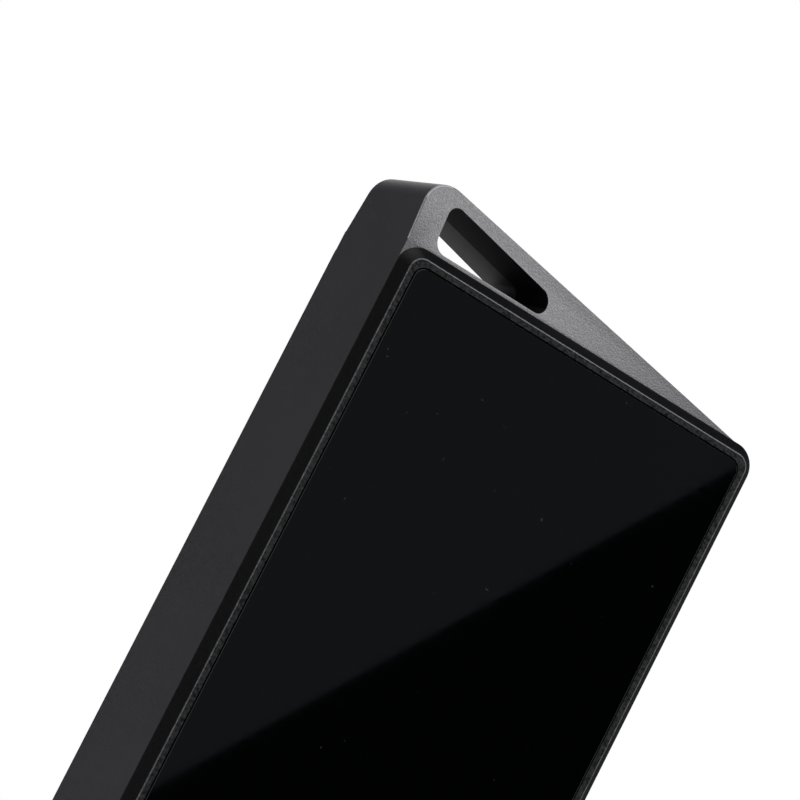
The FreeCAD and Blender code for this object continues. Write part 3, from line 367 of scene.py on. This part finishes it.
def pick(piece, kind, test):  # selects the "faces" or "edges" that pass the test, and nothing else
    bpy.ops.mesh.select_mode(type="FACE" if kind == "faces" else "EDGE")
    bpy.ops.mesh.select_all(action="DESELECT")
    shape = bmesh.from_edit_mesh(piece.data)
    for part in getattr(shape, kind):
        if test(part):
            part.select_set(True)
    shape.select_flush_mode()
    bmesh.update_edit_mesh(piece.data)
    return sum(part.select for part in getattr(shape, kind))


def middleOf(edge):
    return (edge.verts[0].co + edge.verts[1].co) / 2


def runsAlong(edge, axis):
    span = edge.verts[1].co - edge.verts[0].co
    return abs(span.normalized()[axis]) > straight


def liesAt(edge, axis, level):
    return all(abs(corner.co[axis] - level) < nearly for corner in edge.verts)


def facing(direction):
    direction = Vector(direction)
    return lambda face: face.normal.dot(direction) >= straight


def roundEdges(piece, test, radius, steps):
    found = pick(piece, "edges", test)
    bpy.ops.mesh.bevel(offset=radius * mm, offset_type="OFFSET", segments=steps, profile=0.5,
                       affect="EDGES", clamp_overlap=False)
    return found


def leave(piece):  # back to object mode, with only this piece selected
    bpy.ops.object.mode_set(mode="OBJECT")
    bpy.ops.object.select_all(action="DESELECT")
    piece.select_set(True)
    bpy.context.view_layer.objects.active = piece


def useModifier(piece, kind, **settings):
    leave(piece)
    modifier = piece.modifiers.new("step", kind)
    for key, value in settings.items():
        setattr(modifier, key, value)
    bpy.ops.object.modifier_apply(modifier=modifier.name)


def cutWith(piece, cutter):
    useModifier(piece, "BOOLEAN", operation="DIFFERENCE", object=cutter, solver="EXACT")
    bpy.data.objects.remove(cutter, do_unlink=True)


def drill(piece, place, radius, depth, sides, turn=0.0):  # turn leans the hole from Z towards Y
    bpy.ops.object.select_all(action="DESELECT")
    bpy.ops.mesh.primitive_cylinder_add(vertices=sides, radius=radius * mm, depth=depth * mm,
                                        location=[value * mm for value in place],
                                        rotation=(turn, 0, 0))
    cutWith(piece, bpy.context.object)


def softenAll(piece, width, steps=2, angle=28):  # rounds every edge sharper than angle, in degrees
    useModifier(piece, "BEVEL", width=width * mm, segments=steps, limit_method="ANGLE",
                angle_limit=math.radians(angle), harden_normals=False, use_clamp_overlap=True)


def finishPiece(piece, body, slotName, *nodes, material=None, weigh=True):
    leave(piece)
    bpy.ops.object.shade_smooth_by_angle(angle=smoothBelow)
    if weigh:
        useModifier(piece, "WEIGHTED_NORMAL", mode="FACE_AREA", weight=100, keep_sharp=True)
    piece.data.materials.clear()
    piece.data.materials.append(material or finishes[slotName])
    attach(piece, body)
    if nodes:
        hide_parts(*nodes)
    print("made", piece.name, len(piece.data.polygons), "faces")


def roundedBox(name, low, high, axis, radius, steps):  # rounded along one axis, still in edit mode
    piece = startPiece(name, low, high)
    roundEdges(piece, lambda edge: runsAlong(edge, axis), radius, steps)
    return piece


def roundedCutter(low, high, axis, radius, steps):
    cutter = roundedBox("cutter", low, high, axis, radius, steps)
    leave(cutter)
    return cutter


# A cover's slab, chamfered round its outer face; side is 1 at the back and -1 at the front
def chamferedSlab(name, sizes, side):
    half, start, chamfer = sizes["half"], sizes["from"], sizes["chamfer"]
    rim = start + side * sizes["rise"]
    low, high = sorted((start, rim - side * chamfer))
    piece = roundedBox(name, (-half, low, 0), (half, high, sizes["top"]), 1, sizes["corner"],
                       sizes["steps"])
    pick(piece, "faces", facing((0, side, 0)))
    bpy.ops.mesh.inset(thickness=chamfer * mm, depth=chamfer * mm, use_even_offset=True)
    leave(piece)
    return piece, rim


rearCover = {
    "half": 22.8, "top": 118.0, "from": 6.8, "rise": 1.2, "corner": 2.5, "chamfer": 1.05,
    "rim": 0.7, "seatCorner": 1.35, "seatDeep": 0.9, "soft": 0.14, "steps": 14,
    "edgeBand": 0.2, "rimSlack": 0.02, "rimTilt": 0.7, "flatTilt": 0.995,
}


def makeRearCover(sizes):
    half, top, steps = sizes["half"], sizes["top"], sizes["steps"]
    piece, rim = chamferedSlab("rear_cover_shell", sizes, 1)
    inset = sizes["chamfer"] + sizes["rim"]
    cutWith(piece, roundedCutter((-half + inset, rim - sizes["seatDeep"], inset),
                                 (half - inset, rim + past, top - inset), 1,
                                 sizes["seatCorner"], steps))
    softenAll(piece, sizes["soft"])
    finishPiece(piece, "housing", "cover_plastic", "rear_cover")
    piece.data.materials.append(rimFinish)
    piece.data.materials.append(rimEdgeHighlightFinish)
    paintRim(piece, sizes, rim)


# The rim takes material 1, and the rounded band along its outer edge material 2, a painted
# highlight
def paintRim(piece, sizes, rim):
    half, top, chamfer = sizes["half"], sizes["top"], sizes["chamfer"]
    corner = sizes["corner"] - chamfer
    lowest = (rim - sizes["soft"] - sizes["rimSlack"]) * mm
    for face in piece.data.polygons:
        if face.normal.y > sizes["rimTilt"] and face.center.y > lowest:
            overX = abs(face.center.x / mm) - (half - chamfer - corner)
            overZ = abs(face.center.z / mm - top / 2) - (top / 2 - chamfer - corner)
            reach = math.hypot(max(overX, 0), max(overZ, 0)) + min(max(overX, overZ), 0) - corner
            onEdge = reach > -sizes["edgeBand"] and face.normal.y < sizes["flatTilt"]
            face.material_index = 2 if onEdge else 1


# Glass panes, softly rounded round their shown face; outer and inner are places along Y
rearGlass = {
    "half": 20.95, "low": 1.85, "high": 116.15, "outer": 8.05, "inner": 7.2, "corner": 1.25,
    "steps": 14, "edge": 0.1, "edgeSteps": 5,
}
frontGlass = {
    "half": 20.9, "low": 1.9, "high": 86.0, "outer": -7.8, "inner": -7.0, "corner": 1.25,
    "steps": 14, "edge": 0.25, "edgeSteps": 5,
}


def makePane(name, node, sizes, material):
    half, outer = sizes["half"], sizes["outer"] * mm
    low, high = sorted((sizes["outer"], sizes["inner"]))
    piece = roundedBox(name, (-half, low, sizes["low"]), (half, high, sizes["high"]), 1,
                       sizes["corner"], sizes["steps"])
    roundEdges(piece, lambda edge: liesAt(edge, 1, outer), sizes["edge"], sizes["edgeSteps"])
    finishPiece(piece, "housing", "black_glass", node, material=material)


makeRearCover(rearCover)
makePane("rear_glass_pane", "rear_glass", rearGlass, finishes["black_glass"])
makePane("front_glass_pane", "front_glass", frontGlass, frontGlassFinish)

frontCover = {
    "half": 22.8, "top": 118.0, "from": -6.8, "rise": 1.0, "corner": 2.5, "chamfer": 0.9,
    "rim": 0.9, "seatCorner": 1.35, "seatDeep": 0.9, "seatHigh": 86.1, "soft": 0.09, "steps": 14,
    "talkHeight": 101.0, "talkX": 9.6, "talkWide": 14.0, "talkTall": 8.6, "talkFlat": 0.05,
    "pinhole": 0.5, "pinholeDeep": 4.0, "pinholeSides": 32,
}


def makeFrontCover(sizes):
    half, start, steps = sizes["half"], sizes["from"], sizes["steps"]
    piece, rim = chamferedSlab("front_cover_shell", sizes, -1)
    inset = sizes["chamfer"] + sizes["rim"]
    cutWith(piece, roundedCutter((-half + inset, rim - past, inset),
                                 (half - inset, rim + sizes["seatDeep"], sizes["seatHigh"]), 1,
                                 sizes["seatCorner"], steps))
    wide, tall, height = sizes["talkWide"] / 2, sizes["talkTall"] / 2, sizes["talkHeight"]
    for x in (-sizes["talkX"], sizes["talkX"]):
        cutWith(piece, roundedCutter((x - wide, rim - past, height - tall),
                                     (x + wide, start + past, height + tall), 1,
                                     tall - sizes["talkFlat"], steps))
    drill(piece, (0, rim, height), sizes["pinhole"], sizes["pinholeDeep"], sizes["pinholeSides"],
          math.pi / 2)
    softenAll(piece, sizes["soft"])
    finishPiece(piece, "housing", "cover_plastic", "front_cover")


makeFrontCover(frontCover)


# Frame with its lanyard eye: a box whose top is drawn up into a slanted, thinning wedge, then cut
# out. Slots are low Y, high Y, low Z, high Z, for power, volume up, volume down and the tray
frameSizes = {
    "half": 22.8, "deep": 6.8, "top": 118.0, "corner": 2.5, "steps": 14,
    "thinSide": 3.06, "eyeTall": 7.45, "taper": 8.5, "tipRound": 3.21,
    "side": 20.9, "end": 2.2, "cavityCorner": 1.25, "cavitySteps": 6,
    "hole": {"left": 6.0, "right": 19.5, "low": 118.6, "leftTop": 120.7, "rightTop": 123.45,
             "corner": 1.0, "steps": 10, "tallCorner": 1.3, "tallSteps": 12,
             "growX": 1.049, "growZ": 1.11, "sliver": 0.02, "reach": 8.0},
    "slots": ((-1.32, 1.32, 86.88, 97.12), (-1.32, 1.32, 74.38, 82.62), (-1.32, 1.32, 63.88, 72.12),
              (-2.2, 0.4, 22.0, 35.0)),
    "slotCorner": 1.2, "slotSteps": 10,
    "port": (4.62, 1.75), "portCorner": 1.65, "portSteps": 10,
    "soundX": (7.25, 8.75, 10.25, 11.75, 13.25, 14.75), "soundY": 0.4, "soundRadius": 0.55,
    "pinhole": (-10.0, -1.1, 0.5), "drillSides": 24,
    "soft": 0.13, "softSteps": 3, "softAngle": 40, "eyeSoft": 0.16, "shineFrom": 20.1,
}
# Room in millimetres for finding edges and faces by place, and limits on a part of their normal
margins = {"corner": 0.1, "tip": 1.0, "shown": 0.01, "hole": 0.5, "roof": 0.6, "shine": 0.6}
tilts = {"wall": 0.3, "front": 0.9, "holeFloor": 0.2, "edge": (0.2, 0.95)}


def liftEye(piece, sizes):
    top, split = sizes["top"] * mm, (-sizes["half"] + sizes["thinSide"]) * mm
    bpy.ops.mesh.select_all(action="SELECT")
    bpy.ops.mesh.bisect(plane_co=(split, 0, 0), plane_no=(1, 0, 0))
    onTop = facing((0, 0, 1))
    pick(piece, "faces", lambda face: onTop(face) and face.calc_center_median().x > split)
    bpy.ops.mesh.extrude_region_move(
        TRANSFORM_OT_translate={"value": (0, 0, sizes["eyeTall"] * mm)})

    def raised(edge):
        return runsAlong(edge, 1) and edge.verts[0].co.z > top + nearly
    pick(piece, "edges", lambda edge: raised(edge) and edge.verts[0].co.x < split + nearly)
    bpy.ops.transform.translate(value=(0, 0, -sizes["eyeTall"] * mm))
    lean = sizes["eyeTall"] * math.tan(math.radians(sizes["taper"]))
    pick(piece, "edges", raised)
    bpy.ops.transform.resize(value=(1, 1 - lean / sizes["deep"], 1))
    bpy.ops.mesh.select_all(action="SELECT")
    bpy.ops.mesh.remove_doubles(threshold=0.001 * mm)
    bpy.ops.mesh.normals_make_consistent(inside=False)


# One half of the eye's hole, widening from the middle plane to the front (-1) or the back (1)
def eyeCutter(hole, side):
    low, high = sorted((0, side * hole["sliver"]))
    cutter = startPiece("cutter", (hole["left"], low, hole["low"]),
                        (hole["right"], high, hole["rightTop"]))
    middle = (hole["left"] + hole["right"]) / 2 * mm

    def onLeft(edge):
        return runsAlong(edge, 1) and edge.verts[0].co.x < hole["left"] * mm + nearly

    def onRight(edge):
        return runsAlong(edge, 1) and edge.verts[0].co.x > middle
    pick(cutter, "edges", lambda edge: onLeft(edge)
         and edge.verts[0].co.z > hole["low"] * mm + nearly)
    bpy.ops.transform.translate(value=(0, 0, (hole["leftTop"] - hole["rightTop"]) * mm))
    roundEdges(cutter, onRight, hole["tallCorner"], hole["tallSteps"])
    roundEdges(cutter, onLeft, hole["corner"], hole["steps"])
    pick(cutter, "faces", facing((0, side, 0)))
    bpy.ops.mesh.extrude_region_move(
        TRANSFORM_OT_translate={"value": (0, side * hole["reach"] * mm, 0)})
    bpy.ops.transform.resize(value=(hole["growX"], 1, hole["growZ"]))
    leave(cutter)
    return cutter


def makeFrame(sizes):
    half, deep, top = sizes["half"], sizes["deep"], sizes["top"]
    piece = startPiece("frame_with_eye", (-half, -deep, 0), (half, deep, top))
    liftEye(piece, sizes)

    def cornerEdge(edge):  # the body's corners, without the one under the eye's tall side
        middle = middleOf(edge)
        return runsAlong(edge, 1) and abs(middle.x) > (half - margins["corner"]) * mm \
            and middle.z < (top + margins["corner"]) * mm \
            and not (middle.x > 0 and middle.z > top / 2 * mm)

    def tipEdge(edge):
        return runsAlong(edge, 1) and middleOf(edge).z > (top + margins["tip"]) * mm

    def shownEdge(edge):  # where the eye's tall side and tip meet its front and back
        lean, middle = sorted(abs(face.normal.y) for face in edge.link_faces), middleOf(edge)
        return len(lean) == 2 and lean[0] < tilts["wall"] and lean[1] > tilts["front"] \
            and middle.z > (top + margins["shown"]) * mm and middle.x > sizes["shineFrom"] * mm
    roundEdges(piece, cornerEdge, sizes["corner"], sizes["steps"])
    roundEdges(piece, tipEdge, sizes["tipRound"], sizes["steps"])
    print("eye edges softened:", roundEdges(piece, shownEdge, sizes["eyeSoft"], sizes["softSteps"]))
    leave(piece)
    side, end = sizes["side"], sizes["end"]
    cutWith(piece, roundedCutter((-side, -deep - 2 * past, end),
                                 (side, deep + 2 * past, top - end), 1,
                                 sizes["cavityCorner"], sizes["cavitySteps"]))
    for facingSide in (-1, 1):
        cutWith(piece, eyeCutter(sizes["hole"], facingSide))
    for lowY, highY, lowZ, highZ in sizes["slots"]:
        cutWith(piece, roundedCutter((-half - 2 * past, lowY, lowZ),
                                     (-side + past, highY, highZ), 0,
                                     sizes["slotCorner"], sizes["slotSteps"]))
    wide, tall = sizes["port"]
    cutWith(piece, roundedCutter((-wide, -tall, -past), (wide, tall, end + past), 2,
                                 sizes["portCorner"], sizes["portSteps"]))
    holes = [(x, sizes["soundY"], sizes["soundRadius"]) for x in sizes["soundX"]]
    for x, y, radius in holes + [sizes["pinhole"]]:
        drill(piece, (x, y, 0), radius, 2 * (end + past), sizes["drillSides"])
    softenAll(piece, sizes["soft"], sizes["softSteps"], sizes["softAngle"])
    finishPiece(piece, "housing", "frame_plastic", "mid_frame")
    for finish in (holeShadeFinish, holeDeepShadeFinish, eyeEdgeHighlightFinish):
        piece.data.materials.append(finish)
    paintEye(piece, sizes)


# The hole's walls take material 1, painted shade, but 2, a deeper painted shade, on their rear half
# above the floor; the eye's edge takes 3, a painted highlight
def paintEye(piece, sizes):
    hole, top = sizes["hole"], sizes["top"]
    wide, rise = hole["right"] - hole["left"], hole["rightTop"] - hole["leftTop"]
    edgeLow, edgeHigh = tilts["edge"]
    for face in piece.data.polygons:
        x, y, z = face.center / mm
        roof = hole["leftTop"] + (x - hole["left"]) / wide * rise
        across = hole["left"] - margins["hole"] < x < hole["right"] + margins["hole"]
        upright = hole["low"] - margins["hole"] < z < roof + margins["roof"]
        if across and upright and abs(face.normal.y) < tilts["wall"]:
            # painted shade on the hole's walls, deeper painted shade on their rear half
            face.material_index = 2 if y > 0 and face.normal.z < tilts["holeFloor"] else 1
        # painted highlight on the bevel along the eye's tall side
        elif x > sizes["shineFrom"] and z > top + margins["shine"] \
                and edgeLow < face.normal.y < edgeHigh:
            face.material_index = 3


makeFrame(frameSizes)


# Keys. A cap shows its low side along one axis, with a soft edge and a shallow dish
def makeCap(name, sizes, axis, low, high):
    piece = roundedBox(name, low, high, axis, sizes["corner"], sizes["steps"])
    level = low[axis] * mm
    roundEdges(piece, lambda edge: liesAt(edge, axis, level), sizes["edge"], sizes["edgeSteps"])
    outward = Vector((0, 0, 0))
    outward[axis] = -1
    shown = facing(outward)
    pick(piece, "faces", lambda face: shown(face)
         and abs(face.calc_center_median()[axis] - level) < nearly)
    for reach, depth in sizes["dish"]:
        bpy.ops.mesh.inset(thickness=reach * mm, depth=-depth * mm, use_even_offset=False)
    return piece


talkCap = {
    "edge": 0.3, "edgeSteps": 4, "corner": 4.1, "steps": 16,
    "dish": ((0.5, 0.02), (0.7, 0.05), (0.9, 0.05)),
    "wide": 6.85, "tall": 4.15, "from": -8.2, "to": -5.8, "height": 101.0, "x": 9.6,
}
for side, name in ((-1, "first_talk_key"), (1, "second_talk_key")):
    x, wide, tall, height = side * talkCap["x"], talkCap["wide"], talkCap["tall"], talkCap["height"]
    made = makeCap(name + "_cap", talkCap, 1, (x - wide, talkCap["from"], height - tall),
                   (x + wide, talkCap["to"], height + tall))
    finishPiece(made, name, "talk_plastic", name, weigh=False)

sideCap = {
    "edge": 0.26, "edgeSteps": 4, "corner": 1.15, "steps": 12, "dish": ((0.25, 0.0), (0.3, 0.03)),
    "deep": 1.2, "out": -23.3, "in": -20.8,
}
sideKeys = {"power_key": (92.0, 10.0), "volume_up_key": (78.5, 8.0), "volume_down_key": (68.0, 8.0)}
for name, (at, tall) in sideKeys.items():  # the key's height on the frame, and its length
    made = makeCap(name + "_cap", sideCap, 0, (sideCap["out"], -sideCap["deep"], at - tall / 2),
                   (sideCap["in"], sideCap["deep"], at + tall / 2))
    finishPiece(made, name, "key_plastic", name)


# Studio: camera, floor, world, lamps and cards. Lengths here are in metres
cameraAt = {
    "right": (-0.76995, 0.45247, 0.44995), "up": (0.46921, -0.07645, 0.87977),
    "back": (0.43246, 0.8885, -0.15344), "place": (0.302944, 0.597219, 0.001928),
    "lens": 306.0, "sensor": 36.0, "nearest": 0.01,
}


def turned(right, up, back, place):
    turn = Matrix((right, up, back)).transposed().to_4x4()
    turn.translation = Vector(place)
    return turn


cameraData = bpy.data.cameras.new("camera")
cameraData.lens = cameraAt["lens"]
cameraData.sensor_width = cameraAt["sensor"]
cameraData.sensor_fit = "HORIZONTAL"
cameraData.clip_start = cameraAt["nearest"]
camera = bpy.data.objects.new("camera", cameraData)
bpy.context.collection.objects.link(camera)
camera.matrix_world = turned(cameraAt["right"], cameraAt["up"], cameraAt["back"], cameraAt["place"])
bpy.context.scene.camera = camera

floorLook = {"size": 6.0, "under": 0.0002, "colour": grey(0.82), "rough": 0.9, "specular": 0.1}
bpy.ops.object.select_all(action="DESELECT")
bpy.ops.mesh.primitive_plane_add(size=floorLook["size"], location=(0, 0, -floorLook["under"]))
floor = bpy.context.object
floor.name = "floor"
floorMaterial, floorTree = newMaterial("pale floor")
shade(floorTree, floorLook["colour"], floorLook["rough"], specular=floorLook["specular"])
floor.data.materials.append(floorMaterial)

worldLevel = {"lit": 0.55, "seen": 1.0}  # as light on the object, and as what is seen or mirrored
world = bpy.data.worlds.new("studio")
world.use_nodes = True
bpy.context.scene.world = world
worldTree = world.node_tree
worldTree.nodes.clear()
ray = addNode(worldTree, "ShaderNodeLightPath").outputs
direct = reckon(worldTree, "MAXIMUM", ray["Is Camera Ray"], ray["Is Glossy Ray"])
plain = reckon(worldTree, "MAXIMUM", direct, ray["Is Transmission Ray"])
dim = addNode(worldTree, "ShaderNodeBackground", Color=grey(1.0), Strength=worldLevel["lit"])
white = addNode(worldTree, "ShaderNodeBackground", Color=grey(1.0), Strength=worldLevel["seen"])
blend = addNode(worldTree, "ShaderNodeMixShader")
for socket, value in zip(blend.inputs, (plain, dim.outputs[0], white.outputs[0])):
    feed(worldTree, socket, value)
addNode(worldTree, "ShaderNodeOutputWorld", Surface=blend.outputs[0])

aim = Vector((0, 0, 0.1))  # what lamps and cards point at, in the object's upper half


def aimed(toward, far):
    place = aim + Vector(toward).normalized() * far
    back = (place - aim).normalized()
    right = Vector((0, 0, 1)).cross(back).normalized()
    return turned(right, back.cross(right), back, place)


lamps = {
    "eyeSoftbox": {"toward": (-0.44, 0.74, 0.51), "far": 0.9, "wide": 0.34, "tall": 0.16,
                   "radiance": 36.0},
    "topSoftbox": {"toward": (0.5, -0.1, 1.0), "far": 1.1, "wide": 0.5, "tall": 0.5,
                   "radiance": 0.8},
}
for name, lamp in lamps.items():
    data = bpy.data.lights.new(name, "AREA")
    data.shape = "RECTANGLE"
    data.size = lamp["wide"]
    data.size_y = lamp["tall"]
    data.energy = lamp["radiance"] * math.pi * lamp["wide"] * lamp["tall"]
    made = bpy.data.objects.new(name, data)
    bpy.context.collection.objects.link(made)
    made.matrix_world = aimed(lamp["toward"], lamp["far"])

# Cards that show in reflections only. A box is left, right, bottom and top before the card's slant
# in degrees; the rear glass mirrors the first two, which meet along one slanting line
mirroredCard = {"toward": (-0.437, 0.884, 0.165), "far": 0.45, "shift": -0.0199, "slant": 55.9}
cards = {
    "upperCard": dict(mirroredCard, level=(0.130, 0.150, 0.172, 1), box=(-0.30, 0.30, 0.0, 0.20)),
    "lowerCard": dict(mirroredCard, level=grey(0.0), box=(-0.30, 0.30, -0.20, 0.0)),
    "sideCard": {"toward": (0.55, -0.82, 0.1), "far": 0.4, "level": grey(0.05),
                 "box": (-0.24, 0.35, -0.35, 0.35)},
    "topCard": {"toward": (-0.35, -0.12, 0.93), "far": 0.3, "level": grey(0.0),
                "box": (-0.25, 0.25, -0.20, 0.13)},
    "leftCard": {"toward": (0.90, 0.42, 0.05), "far": 0.4, "level": grey(0.02),
                 "box": (-0.14, 0.14, -0.25, 0.25)},
    "rightCard": {"toward": (-0.887, -0.433, 0.153), "far": 0.4, "level": grey(0.05),
                  "box": (-0.14, 0.14, -0.25, 0.25)},
}
for name, card in cards.items():
    left, right, bottom, high = card["box"]
    bpy.ops.object.select_all(action="DESELECT")
    bpy.ops.mesh.primitive_plane_add(size=1.0)
    made = bpy.context.object
    made.name = name
    slant = Matrix.Rotation(math.radians(card.get("slant", 0.0)), 4, "Z")
    height = (bottom + high) / 2 + card.get("shift", 0.0)
    middle = Matrix.Translation(((left + right) / 2, height, 0))
    size = Matrix.Diagonal((right - left, high - bottom, 1, 1))
    made.matrix_world = aimed(card["toward"], card["far"]) @ slant @ middle @ size
    cardMaterial, cardTree = newMaterial(name)
    glow = addNode(cardTree, "ShaderNodeEmission", Color=card["level"], Strength=1.0)
    addNode(cardTree, "ShaderNodeOutputMaterial", Surface=glow.outputs[0])
    made.data.materials.append(cardMaterial)
    made.visible_camera = False
    made.visible_shadow = False
    made.visible_diffuse = False
print("studio ready")

bpy.context.scene.view_settings.view_transform = "Standard"
